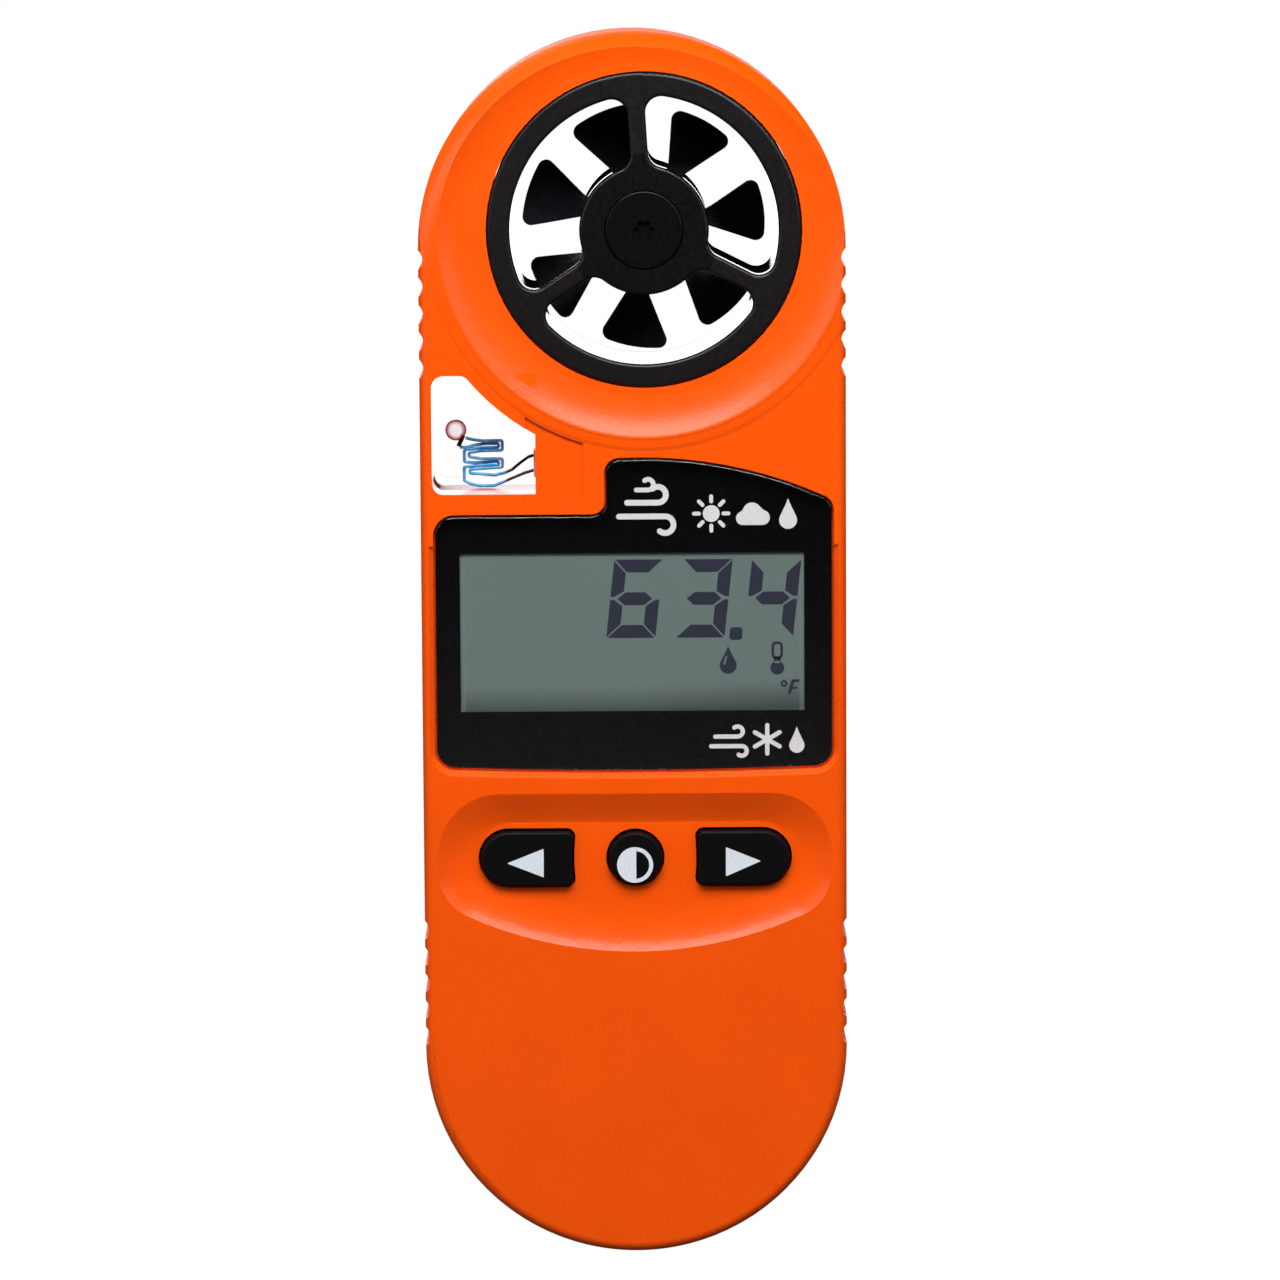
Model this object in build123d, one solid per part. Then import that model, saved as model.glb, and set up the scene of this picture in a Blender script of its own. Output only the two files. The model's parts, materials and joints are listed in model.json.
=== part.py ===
"""Handheld weather meter: a stadium-shaped casing with a removable impeller cartridge at the top,
an open sensor window beside it, a display, three keys and a coin cell behind a quarter-turn door.

Frame: X to the right seen from the front, Y from the front face to the back, Z up along the casing.
Heights in this file are measured from a datum LOWER_END below the casing's lower end, and main() lowers
everything by that much, so the finished origin is the bottom centre of the bounding box. Sizes are in
millimetres.
"""

import math
import os

from build123d import *

# ---------------------------------------------------------------- driving dimensions
BODY_WIDTH = 41.5
LOWER_END = 1.7
UPPER_END = 121.85
WALL = 2.0

# Planes across the depth, from the front to the back.
CREST_Y = -8.25
FACE_Y = -8.1
POCKET_Y = -6.6
LOWER_INNER_Y = -6.1
INNER_Y = -5.4
BOARD_Y = (-2.4, -1.2)
PARTING_Y = 1.0
REAR_INNER_Y = 7.2
BACK_Y = 9.0

RADIUS = BODY_WIDTH / 2
TOP_CENTRE = (0.0, UPPER_END - RADIUS)
BOTTOM_CENTRE = (0.0, LOWER_END + RADIUS)

# Impeller cartridge.
AXIS = (1.2, 102.7)
CARTRIDGE_R = 15.3
BORE_R = 15.36
THROAT_R = 13.05
HUB_R = 6.3
PLUG_R = 3.8
CARTRIDGE_Y = (-7.15, 8.15)
CARTRIDGE_MID_Y = 0.1
SPOKE_DEPTH = 2.1
SPOKE_WIDTH = 1.75
SPOKE_ANGLES = (93.5, 213.5, 333.5)
BLADE_COUNT = 7
BLADE_TIP_R = 11.9
BLADE_APEX_R = 5.3
BLADE_ROOT_HALF = 0.45
BLADE_HALF_ANGLE = 27.0
FIRST_BLADE_ANGLE = 7.7
AXLE_R = 0.6
JEWEL_R = 1.25
JEWEL_BORE_R = 0.64

# Raised rim round the cartridge: a shallow dish that climbs to a rounded crest and drops to the face.
DISH_FLAT_R = 16.2
DISH_R = 19.9
CREST_R = 20.15
CREST_OUTER_R = 20.35
RIM_OUTER_R = 21.1
FOOT_R = 21.45
CROWN_ROUND = 4.0

# Sensor window and the recess beside it.
WINDOW_LEFT = -19.58
WINDOW_RIGHT = -9.5
WINDOW_BOTTOM = 77.1
WINDOW_TOP = 88.7
WINDOW_ARC_R = 22.45
RECESS_RIGHT = -4.85
RECESS_BOTTOM = 76.85
RECESS_Y = -7.85

# Display.
LENS_HALF = 19.45
LENS_GAP = 0.08
LENS_BEVEL = 0.5
LENS_BOTTOM = 50.07
LENS_TOP = 75.05
TAB_LEFT = -2.75
TAB_ARC_CENTRE = (0.7, 37.1)
TAB_ARC_R = 43.5
LENS_FRONT_Y = -8.35
LENS_BACK_Y = -6.86
MASK_Y = (-6.8, -6.72)
DISPLAY_CENTRE = (-0.17, 63.05)
VIEW_CENTRE = (-0.17, 63.38)
VIEW_SIZE = (33.65, 15.6)
GLASS_SIZE = (36.0, 18.8)
GLASS_Y = (-6.3, -4.5)
LAYER_GAP = 0.02

# Keys, in a bowl that is given by its half width, top, bottom and corner radii at three depths.
KEY_Z = 41.1
KEY_INNER = 6.05
KEY_OUTER = 15.15
KEY_HALF_HEIGHT = 2.7
KEY_FRONT_Y = -7.9
KEY_GAP = 0.25
POWER_KEY_R = 2.62
FLANGE_MARGIN = 0.9
FLANGE_Y = (-5.1, -4.4)
PILL_Y = (-3.65, -3.35)
BOWL_RIM = (19.3, 47.6, 31.9, 6.0, 4.8)
BOWL_WAIST = (17.5, 45.7, 33.7, 4.9, 3.9)
BOWL_FLOOR = (14.5, 44.5, 37.6, 2.1, 1.7)
BOWL_DEPTHS = (0.0, 0.75, 1.1)
BOWL_ARC_R = 39.7

# Battery compartment and its bayonet door.
CELL_CENTRE = (0.0, 40.0)
CELL_R = 10.0
CELL_Y = (2.9, 6.1)
WELL_R = 10.35
WELL_FLOOR_Y = (1.4, 2.6)
SHELF_Y = 6.2
DOOR_R = 12.1
DOOR_HOLE_R = 12.3
DOOR_Y = (6.6, 8.8)
CUP_R = 14.6
LUG_R = 13.3
LUG_Y = (6.7, 7.4)
UNDERCUT_R = 13.45
LEDGE_Y = 7.5
LUG_ANGLES = (90, 210, 330)
DOOR_TURN = 60
LUG_HALF_ANGLE = 14
STOP_MARGIN = 1.5

# Fasteners.
CASE_SCREWS = ((-12.5, 10.5), (12.5, 10.5), (-2.5, 82.3), (15.5, 83.5))
POST_R = 2.4
CASE_SHANK_R = 1.1
CASE_HEAD_R = 1.95
CASE_HEAD_Y = (6.6, 8.3)
BOARD_SCREWS = ((-15.5, 49.4), (15.5, 49.4), (-11.0, 20.5), (11.0, 20.5))
BOARD_BOSS_R = 2.1
BOARD_SHANK_R = 0.9

# Lanyard anchor in the back.
LANYARD = (0.0, 8.5)
LANYARD_POCKET = (9.0, 5.6)
LANYARD_FLOOR_Y = 4.8
LANYARD_PIN_R = 0.8
LANYARD_PIN_Y = 7.9

# Side grips.
GRIP_OFFSETS = (6.45, 6.3)
GRIP_PITCH = 2.65
GRIP_COUNT = 5
GRIP_DEPTH = 0.45
GRIP_R = 1.23

# Thermistor and its two folded leads. Each lead is a list of X, Z points on its own depth.
BEAD = (-17.38, -1.6, 82.84)
BEAD_R = 1.04
COLLAR_ENDS = ((-16.64, -1.75, 82.35), (-17.13, -1.75, 81.25))
COLLAR_R = 0.22
LEAD_R = 0.155
LEAD_BEND = 0.175
UPPER_LEAD_Y = -1.83
UPPER_LEAD = (
    (-16.43, 82.1), (-15.79, 81.92), (-14.81, 81.78), (-12.83, 81.8),
    (-12.83, 80.84), (-14.92, 80.8), (-16.1, 80.61),
    (-16.1, 80.22), (-14.93, 80.02), (-12.83, 80.0),
    (-12.83, 79.16), (-14.35, 79.08), (-16.02, 78.96),
    (-16.02, 78.58), (-15.04, 78.53), (-13.66, 78.39), (-12.58, 78.63),
    (-11.89, 78.93), (-11.0, 79.66), (-10.31, 80.15), (-9.75, 80.34),
)
LOWER_LEAD_Y = -1.43
LOWER_LEAD = (
    (-17.0, 81.13), (-16.4, 81.11), (-15.61, 81.32), (-14.63, 81.45), (-13.19, 81.46),
    (-13.19, 81.09), (-15.02, 81.06), (-16.57, 80.87),
    (-16.57, 79.67), (-15.63, 79.58), (-13.21, 79.71),
    (-13.21, 79.34), (-15.04, 79.33), (-16.59, 79.17),
    (-16.59, 77.82), (-15.94, 77.49), (-15.06, 77.31), (-13.68, 77.33),
    (-12.69, 77.71), (-11.9, 78.05), (-10.72, 78.53), (-9.75, 78.82),
)
GLAND_X = (-9.75, -7.5)
GLAND_Y = (-2.6, -0.6)
GLAND_Z = (78.25, 80.9)

# Vent for the pressure sensor.
VENT_CENTRE = (10.5, 67.0)
VENT_HOLE_R = 0.45
VENT_RING_R = 1.3


# ---------------------------------------------------------------- helpers
def slab(sketch, y_front, y_back):
    """A sketch drawn in X and Z, extruded from y_front to y_back."""
    plane = Plane(origin=(0, y_back, 0), x_dir=(1, 0, 0), z_dir=(0, -1, 0))
    return extrude(plane * sketch, amount=y_back - y_front)


def disc(centre, radius):
    """A circle in the X-Z sketch plane."""
    return Pos(*centre) * Circle(radius)


def rod(centre, radius, y_front, y_back):
    """A cylinder along Y."""
    return slab(disc(centre, radius), y_front, y_back)


def tube(centre, outer, inner, y_front, y_back):
    """A hollow cylinder along Y."""
    return slab(disc(centre, outer) - disc(centre, inner), y_front, y_back)


def block(x_range, y_range, z_range):
    """A box between three pairs of limits."""
    sizes = [high - low for low, high in (x_range, y_range, z_range)]
    middles = [(low + high) / 2 for low, high in (x_range, y_range, z_range)]
    return Pos(*middles) * Box(*sizes)


def centred(centre, size):
    """A rectangle in the X-Z sketch plane."""
    return Pos(*centre) * Rectangle(*size)


def turned(points, centre):
    """A solid of revolution about the Y direction through centre, from (radius, y) points."""
    cx, cz = centre
    profile = make_face(Polyline(*points, close=True))
    return revolve(Pos(cx, 0, cz) * profile, axis=Axis((cx, 0, cz), (0, 1, 0)))


def rounded(face, corners):
    """Rounds the vertex of a sketch nearest to each given point, by that point's radius."""
    for (x, z), radius in corners.items():
        vertex = min(face.vertices(), key=lambda v: math.hypot(v.X - x, v.Y - z))
        face = fillet(vertex, radius)
    return face


def round_front(solid, radius):
    """Rounds the edges of a solid's foremost face."""
    return fillet(solid.edges().group_by(Axis.Y)[0], radius)


def round_back(solid, radius):
    """Rounds the edges of a solid's rearmost face."""
    return fillet(solid.edges().group_by(Axis.Y)[-1], radius)


def polar(centre, radius, angle):
    """A point at a radius and an angle in degrees, measured from +X towards +Z."""
    turn = math.radians(angle)
    return (centre[0] + radius * math.cos(turn), centre[1] + radius * math.sin(turn))


def sector(centre, radius, start, end):
    """A pie slice in the X-Z sketch plane, less than a half turn wide."""
    middle = polar(centre, radius, (start + end) / 2)
    first, last = polar(centre, radius, start), polar(centre, radius, end)
    outline = Curve() + [
        Line(centre, first),
        ThreePointArc(first, middle, last),
        Line(last, centre),
    ]
    return make_face(outline)


# ---------------------------------------------------------------- outlines
def stadium():
    """The casing's outline."""
    middle = (LOWER_END + UPPER_END) / 2
    return Pos(0, middle) * SlotOverall(UPPER_END - LOWER_END, BODY_WIDTH, rotation=90)


def window_outline():
    """The sensor window: a rectangle whose upper right is cut off by an arc about the impeller."""
    size = (WINDOW_RIGHT - WINDOW_LEFT, WINDOW_TOP - WINDOW_BOTTOM)
    centre = ((WINDOW_RIGHT + WINDOW_LEFT) / 2, (WINDOW_TOP + WINDOW_BOTTOM) / 2)
    outline = centred(centre, size) - disc(AXIS, WINDOW_ARC_R)
    arc_start = AXIS[0] - math.sqrt(WINDOW_ARC_R**2 - (AXIS[1] - WINDOW_TOP) ** 2)
    return rounded(
        outline,
        {
            (WINDOW_LEFT, WINDOW_TOP): 1.2,
            (WINDOW_LEFT, WINDOW_BOTTOM): 1.1,
            (arc_start, WINDOW_TOP): 1.0,
        },
    )


def tab_arc_height(x):
    """Height of the display lens's arched top edge at x."""
    return TAB_ARC_CENTRE[1] + math.sqrt(TAB_ARC_R**2 - (x - TAB_ARC_CENTRE[0]) ** 2)


def lens_outline():
    """The display lens: a bowed rectangle with a raised tab on its right."""
    low_left, low_right = (-LENS_HALF, LENS_BOTTOM), (LENS_HALF, LENS_BOTTOM)
    top_right = (LENS_HALF, tab_arc_height(LENS_HALF))
    tab_middle = ((LENS_HALF + TAB_LEFT) / 2, tab_arc_height((LENS_HALF + TAB_LEFT) / 2))
    tab_top = (TAB_LEFT, tab_arc_height(TAB_LEFT))
    tab_foot = (TAB_LEFT, LENS_TOP)
    top_left = (-LENS_HALF, LENS_TOP)
    outline = make_face(
        Curve()
        + [
            ThreePointArc(low_left, (0, LENS_BOTTOM - 0.4), low_right),
            Line(low_right, top_right),
            ThreePointArc(top_right, tab_middle, tab_top),
            Line(tab_top, tab_foot),
            Line(tab_foot, top_left),
            Line(top_left, low_left),
        ]
    )
    return rounded(
        outline,
        {low_left: 1.9, low_right: 1.9, top_right: 1.5, tab_top: 1.4, tab_foot: 1.3, top_left: 2.0},
    )


def arrow_key_outline(side):
    """An arrow key: round at its outer end, square with a slight waist at its inner end."""
    inner, outer = side * KEY_INNER, side * KEY_OUTER
    shoulder = side * (KEY_OUTER - KEY_HALF_HEIGHT)
    low, high = KEY_Z - KEY_HALF_HEIGHT, KEY_Z + KEY_HALF_HEIGHT
    outline = make_face(
        Curve()
        + [
            ThreePointArc((inner, low), (inner + side * 0.2, KEY_Z), (inner, high)),
            Line((inner, high), (shoulder, high)),
            ThreePointArc((shoulder, high), (outer, KEY_Z), (shoulder, low)),
            Line((shoulder, low), (inner, low)),
        ]
    )
    return rounded(outline, {(inner, low): 0.6, (inner, high): 0.6})


def key_outlines():
    """The outline and the centre of each key, by name."""
    middle = (KEY_INNER + KEY_OUTER) / 2
    return {
        "left_key": (arrow_key_outline(-1), (-middle, KEY_Z)),
        "power_key": (disc((0, KEY_Z), POWER_KEY_R), (0, KEY_Z)),
        "right_key": (arrow_key_outline(1), (middle, KEY_Z)),
    }


def bowl_outline(half, top, bottom, upper_radius, lower_radius):
    """The bowl's outline: straight along its top, round at its ends and bowed along its bottom."""
    low = bottom + BOWL_ARC_R - math.sqrt(BOWL_ARC_R**2 - half**2)
    outline = make_face(
        Curve()
        + [
            Line((-half, top), (half, top)),
            Line((half, top), (half, low)),
            ThreePointArc((half, low), (0, bottom), (-half, low)),
            Line((-half, low), (-half, top)),
        ]
    )
    corners = {
        (-half, top): upper_radius,
        (half, top): upper_radius,
        (half, low): lower_radius,
        (-half, low): lower_radius,
    }
    return rounded(outline, corners)


def cavity_outline():
    """The sealed cavity: the casing's inside, less the walls round the bore and the window."""
    inside = offset(stadium(), -WALL)
    frame = offset(window_outline(), WALL, kind=Kind.INTERSECTION)
    ceiling = 94.0
    above = centred((0, ceiling + 20), (60, 40))
    outline = inside - disc(AXIS, BORE_R + WALL) - frame - above
    return outline.faces().sort_by(SortBy.AREA)[-1]


# ---------------------------------------------------------------- casing halves
def crown_mask():
    """Everything inside the casing's extra rounding at the top, which fades out down the sides."""
    centre, radius = (0.0, TOP_CENTRE[1] - 2.0), RADIUS + 2.0
    crown = round_front(rod(centre, radius, CREST_Y, BACK_Y), CROWN_ROUND)
    crown = round_back(crown, 1.8)
    below = block((-30, 30), (CREST_Y, BACK_Y), (-1, centre[1]))
    return crown + below


def grips():
    """The scallops cut along both sides, in a group near each end."""
    cutter_x = RADIUS - GRIP_DEPTH + GRIP_R
    groups = (TOP_CENTRE[1] - GRIP_OFFSETS[0], BOTTOM_CENTRE[1] + GRIP_OFFSETS[1])
    first = -(GRIP_COUNT - 1) / 2
    return [
        rod((side * cutter_x, middle + (first + i) * GRIP_PITCH), GRIP_R, CREST_Y, BACK_Y)
        for side in (-1, 1)
        for middle in groups
        for i in range(GRIP_COUNT)
    ]


def front_rim():
    """The raised rim round the cartridge, clipped to the casing's outline."""
    dish_y = CARTRIDGE_Y[0] + 0.05
    dish_start = (BORE_R - 0.5, dish_y)
    dish_flat = (DISH_FLAT_R, dish_y)
    dish_knee = (DISH_FLAT_R + 2.2, dish_y - 0.4)
    dish_end = (DISH_R, CREST_Y + 0.1)
    shoulder = (CREST_OUTER_R, CREST_Y + 0.03)
    rim_edge = (RIM_OUTER_R, FACE_Y - 0.08)
    foot = (FOOT_R, FACE_Y)
    low_y = FACE_Y + 2
    profile = make_face(
        Curve()
        + [
            Line(dish_start, dish_flat),
            ThreePointArc(dish_flat, dish_knee, dish_end),
            ThreePointArc(dish_end, (CREST_R, CREST_Y), shoulder),
            Polyline(shoulder, rim_edge, foot, (FOOT_R, low_y), (BORE_R - 0.5, low_y), dish_start),
        ]
    )
    rim = revolve(Pos(AXIS[0], 0, AXIS[1]) * profile, axis=Axis((AXIS[0], 0, AXIS[1]), (0, 1, 0)))
    return rim & round_front(slab(stadium(), CREST_Y - 0.05, PARTING_Y), 1.1)


def key_bowl():
    """The bowl round the keys: steep along its top and its ends, running out gently at its bottom."""
    sections = [
        Plane(origin=(0, FACE_Y + depth, 0), x_dir=(1, 0, 0), z_dir=(0, -1, 0)) * bowl_outline(*size)
        for size, depth in zip((BOWL_RIM, BOWL_WAIST, BOWL_FLOOR), BOWL_DEPTHS)
    ]
    return loft(sections) + slab(bowl_outline(*BOWL_RIM), CREST_Y - 1, FACE_Y)


def lens_bevel():
    """The sloping edge of the lens's pocket, along its bottom and sides."""
    sections = [
        Plane(origin=(0, FACE_Y + depth, 0), x_dir=(1, 0, 0), z_dir=(0, -1, 0))
        * offset(lens_outline(), LENS_GAP + width)
        for depth, width in ((LENS_BEVEL, 0.0), (-0.05, LENS_BEVEL + 0.05))
    ]
    return loft(sections) & block((-30, 30), (CREST_Y - 1, 0), (LENS_BOTTOM - 2, LENS_TOP - 3))


def front_casing():
    """The front half of the casing, with its pockets, posts and bosses."""
    shell = round_front(slab(stadium(), FACE_Y, PARTING_Y), 1.0)
    shell -= rod(AXIS, FOOT_R, FACE_Y - 1, CARTRIDGE_Y[0] + 0.05)
    shell = (shell + front_rim()) & crown_mask()
    shell -= slab(cavity_outline(), INNER_Y, PARTING_Y)
    lower_pocket = offset(stadium(), -WALL) & centred((0, 10), (60, 40))
    shell -= slab(lower_pocket, LOWER_INNER_Y, PARTING_Y)
    for centre in CASE_SCREWS:
        shell += rod(centre, POST_R, LOWER_INNER_Y, PARTING_Y)
    for centre in BOARD_SCREWS:
        shell += rod(centre, BOARD_BOSS_R, LOWER_INNER_Y, BOARD_Y[0])
    for centre in CASE_SCREWS:
        shell -= rod(centre, CASE_SHANK_R, -3.8, PARTING_Y)
    for centre in BOARD_SCREWS:
        shell -= rod(centre, BOARD_SHANK_R, -4.7, BOARD_Y[0])
    shell -= rod(AXIS, BORE_R, CREST_Y - 1, PARTING_Y)
    shell -= slab(window_outline(), CREST_Y - 1, PARTING_Y)
    recess = centred(((WINDOW_RIGHT + RECESS_RIGHT) / 2 - 0.5, 82), (RECESS_RIGHT - WINDOW_RIGHT + 1, 12))
    recess = recess & centred((0, RECESS_BOTTOM + 10), (60, 20))
    recess -= disc(AXIS, FOOT_R + 0.02)
    shell -= slab(recess, CREST_Y - 1, RECESS_Y)
    shell -= key_bowl()
    shell -= slab(offset(lens_outline(), LENS_GAP), CREST_Y - 1, POCKET_Y)
    shell -= lens_bevel()
    shell -= slab(centred(DISPLAY_CENTRE, (GLASS_SIZE[0] + 0.4, GLASS_SIZE[1] + 0.4)), POCKET_Y, INNER_Y)
    for outline, _ in key_outlines().values():
        shell -= slab(offset(outline, KEY_GAP), CREST_Y - 1, INNER_Y)
    shell -= block((GLAND_X[0], GLAND_X[1] + 0.2), (GLAND_Y[0], GLAND_Y[1]), GLAND_Z)
    for cutter in grips():
        shell -= cutter
    return shell


def seal_outline(outer, inner):
    """A band round the cavity between two margins."""
    cavity = cavity_outline()
    return offset(cavity, outer) - offset(cavity, inner)


def battery_well_cut():
    """What is taken out of the battery cup: the cell's space, the door's hole and the bayonet."""
    cut = rod(CELL_CENTRE, WELL_R, WELL_FLOOR_Y[1], SHELF_Y)
    cut += rod(CELL_CENTRE, DOOR_HOLE_R, SHELF_Y, BACK_Y + 1)
    for angle in LUG_ANGLES:
        low = angle - DOOR_TURN - LUG_HALF_ANGLE - STOP_MARGIN
        high = angle + LUG_HALF_ANGLE + STOP_MARGIN
        cut += slab(sector(CELL_CENTRE, UNDERCUT_R, low, high), LUG_Y[0] - 0.1, LEDGE_Y)
        entry = low + 2 * (LUG_HALF_ANGLE + STOP_MARGIN)
        cut += slab(sector(CELL_CENTRE, UNDERCUT_R, low, entry), LUG_Y[0] - 0.1, BACK_Y + 1)
    return cut


def rear_casing():
    """The back half of the casing, with the battery cup, the screw tubes and the lanyard pocket."""
    shell = round_back(slab(stadium(), PARTING_Y, BACK_Y), 1.8)
    shell = shell & crown_mask()
    shell -= slab(cavity_outline(), PARTING_Y, REAR_INNER_Y)
    for centre in CASE_SCREWS:
        shell += rod(centre, POST_R, PARTING_Y, REAR_INNER_Y)
    shell -= slab(seal_outline(1.1, 0.4), PARTING_Y, PARTING_Y + 0.8)
    shell += rod(CELL_CENTRE, CUP_R, WELL_FLOOR_Y[0], REAR_INNER_Y)
    pocket_x, pocket_z = LANYARD_POCKET
    walls = centred(LANYARD, (pocket_x + 3, pocket_z + 3))
    shell += slab(walls, LANYARD_FLOOR_Y - 1.2, REAR_INNER_Y)
    shell -= slab(centred(LANYARD, LANYARD_POCKET), LANYARD_FLOOR_Y, BACK_Y + 1)
    pin_length = pocket_x + 2
    pin = Pos(LANYARD[0], LANYARD_PIN_Y, LANYARD[1]) * Rot(0, 90, 0)
    shell -= pin * Cylinder(LANYARD_PIN_R, pin_length)
    shell -= battery_well_cut()
    shell -= block((9.9, 10.6), (WELL_FLOOR_Y[1], SHELF_Y), (KEEPER_Z[0] - 0.3, KEEPER_Z[1] + 0.3))
    shell -= rod(CELL_CENTRE, 0.55, 0, WELL_FLOOR_Y[1])
    shell -= rod((KEEPER_X, CELL_CENTRE[1]), 0.35, 0, WELL_FLOOR_Y[1])
    for centre in CASE_SCREWS:
        shell -= rod(centre, CASE_SHANK_R + 0.1, PARTING_Y, BACK_Y)
        shell -= rod(centre, CASE_HEAD_R + 0.15, CASE_HEAD_Y[0], BACK_Y + 1)
    shell -= rod(AXIS, BORE_R, PARTING_Y, BACK_Y + 1)
    shell -= turned(
        [(0, CARTRIDGE_Y[1]), (BORE_R, CARTRIDGE_Y[1]), (DISH_R - 0.4, BACK_Y), (DISH_R - 0.4, 12), (0, 12)],
        AXIS,
    )
    shell -= slab(window_outline(), PARTING_Y, BACK_Y + 1)
    shell -= block((WINDOW_RIGHT - 0.5, -7.3), HUMIDITY_Y, HUMIDITY_Z)
    for i in range(4):
        hole = polar(VENT_CENTRE, VENT_RING_R, 45 + 90 * i)
        shell -= rod(hole, VENT_HOLE_R, REAR_INNER_Y - 1, BACK_Y + 1)
    for cutter in grips():
        shell -= cutter
    return shell


def casing_seal():
    """The elastomer band squeezed between the two halves."""
    return slab(seal_outline(1.05, 0.45), PARTING_Y, PARTING_Y + 0.8)


# ---------------------------------------------------------------- impeller cartridge
def spoked_plate():
    """A disc with three banana-shaped openings between its spokes."""
    openings = disc(AXIS, THROAT_R) - disc(AXIS, HUB_R)
    for angle in SPOKE_ANGLES:
        middle = polar(AXIS, 10, angle)
        openings -= Location((*middle, 0), (0, 0, angle)) * Rectangle(12, SPOKE_WIDTH)
    return disc(AXIS, CARTRIDGE_R) - fillet(openings.vertices(), 1.55)


def cartridge_front():
    """The front shell of the cartridge: a spoked face, a tube and a spigot for the rear shell."""
    face = slab(spoked_plate(), CARTRIDGE_Y[0], CARTRIDGE_Y[0] + SPOKE_DEPTH)
    face = round_front(face, 0.35)
    shell = face + tube(AXIS, CARTRIDGE_R, THROAT_R, CARTRIDGE_Y[0] + SPOKE_DEPTH, CARTRIDGE_MID_Y)
    shell += tube(AXIS, THROAT_R + 1.05, THROAT_R, CARTRIDGE_MID_Y, CARTRIDGE_MID_Y + 1.2)
    shell -= rod(AXIS, PLUG_R + 0.05, CARTRIDGE_Y[0] - 1, CARTRIDGE_Y[0] + 0.95)
    shell -= rod(AXIS, JEWEL_R, CARTRIDGE_Y[0], CARTRIDGE_MID_Y)
    return shell


def cartridge_rear():
    """The rear shell of the cartridge."""
    start = CARTRIDGE_Y[1] - SPOKE_DEPTH
    face = round_back(slab(spoked_plate(), start, CARTRIDGE_Y[1]), 0.35)
    shell = face + tube(AXIS, CARTRIDGE_R, THROAT_R, CARTRIDGE_MID_Y, start)
    shell -= rod(AXIS, THROAT_R + 1.1, CARTRIDGE_MID_Y, CARTRIDGE_MID_Y + 1.25)
    shell -= rod(AXIS, PLUG_R + 0.05, CARTRIDGE_Y[1] - 0.95, CARTRIDGE_Y[1] + 1)
    shell -= rod(AXIS, JEWEL_R, CARTRIDGE_MID_Y, CARTRIDGE_Y[1])
    return shell


def bearing_plug(outer_y, inner_y):
    """The disc that closes a bearing, with a six-lobed key hole in its outer face."""
    front, back = min(outer_y, inner_y), max(outer_y, inner_y)
    plug = rod(AXIS, PLUG_R, front, back)
    edges = plug.edges().group_by(Axis.Y)[0 if outer_y < inner_y else -1]
    plug = fillet(edges, 0.2)
    depth = 0.5 if outer_y < inner_y else -0.5
    low, high = sorted((outer_y - depth * 0.2, outer_y + depth))
    lobes = disc(AXIS, 0.72)
    for i in range(6):
        lobes += disc(polar(AXIS, 0.72, 60 * i), 0.3)
    return plug - slab(lobes, low, high)


def jewel(mouth_y, closed_y):
    """A bearing cup with a blind bore open towards the impeller."""
    low, high = sorted((mouth_y, closed_y))
    depth = 0.75 if closed_y > mouth_y else -0.75
    bore_low, bore_high = sorted((mouth_y, mouth_y + depth))
    return rod(AXIS, JEWEL_R, low, high) - rod(AXIS, JEWEL_BORE_R, bore_low, bore_high)


def blade():
    """One twisted blade along +X about the Y axis, trimmed to a wedge with round tip corners."""
    stations = ((4.2, 5.2, 80), (12.8, 12.4, 42))
    sections = [
        Plane(origin=(r, 0, 0), x_dir=(0, 0, 1), z_dir=(1, 0, 0))
        * Rectangle(chord, 0.55, rotation=pitch)
        for r, chord, pitch in stations
    ]
    twisted = loft(sections, ruled=True)
    reach = 14.0
    spread = (reach - BLADE_APEX_R) * math.tan(math.radians(BLADE_HALF_ANGLE))
    wedge = make_face(
        Polyline(
            (BLADE_APEX_R - 1.6, -BLADE_ROOT_HALF),
            (BLADE_APEX_R, -BLADE_ROOT_HALF),
            (reach, -BLADE_ROOT_HALF - spread),
            (reach, BLADE_ROOT_HALF + spread),
            (BLADE_APEX_R, BLADE_ROOT_HALF),
            (BLADE_APEX_R - 1.6, BLADE_ROOT_HALF),
            close=True,
        )
    )
    wedge = wedge & Circle(BLADE_TIP_R)
    tips = wedge.vertices().filter_by(lambda v: v.X > BLADE_APEX_R + 1)
    wedge = fillet(tips, 0.85)
    return twisted & slab(wedge, -3.4, 3.4)


def impeller():
    """The hub and its blades."""
    hub = slab(Circle(5.0), -4.2, 4.3)
    hub = round_front(round_back(hub, 0.5), 0.5)
    one = blade()
    for i in range(BLADE_COUNT):
        angle = FIRST_BLADE_ANGLE + 360 / BLADE_COUNT * i
        hub += Rot(0, -angle, 0) * one
    wheel = Pos(AXIS[0], CARTRIDGE_MID_Y, AXIS[1]) * hub
    wheel -= rod(AXIS, AXLE_R, -6, 7)
    wheel -= rod(AXIS, 2.2, 3.4, 7)
    return wheel


def impeller_axle():
    """The steel axle, with a short cone at each end."""
    reach = 0.7 - SPOKE_DEPTH
    ends = (CARTRIDGE_Y[0] - reach, CARTRIDGE_Y[1] + reach)
    return turned(
        [
            (0, ends[0]),
            (0.3, ends[0]),
            (AXLE_R, ends[0] + 0.35),
            (AXLE_R, ends[1] - 0.35),
            (0.3, ends[1]),
            (0, ends[1]),
        ],
        AXIS,
    )


def impeller_magnet():
    """The ring magnet pressed into the back of the hub."""
    return tube(AXIS, 2.2, AXLE_R, 3.4, 4.6)


# ---------------------------------------------------------------- display
def display_lens():
    """The clear lens, with its front edge eased."""
    return round_front(slab(lens_outline(), LENS_FRONT_Y, LENS_BACK_Y), 0.35)


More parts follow.
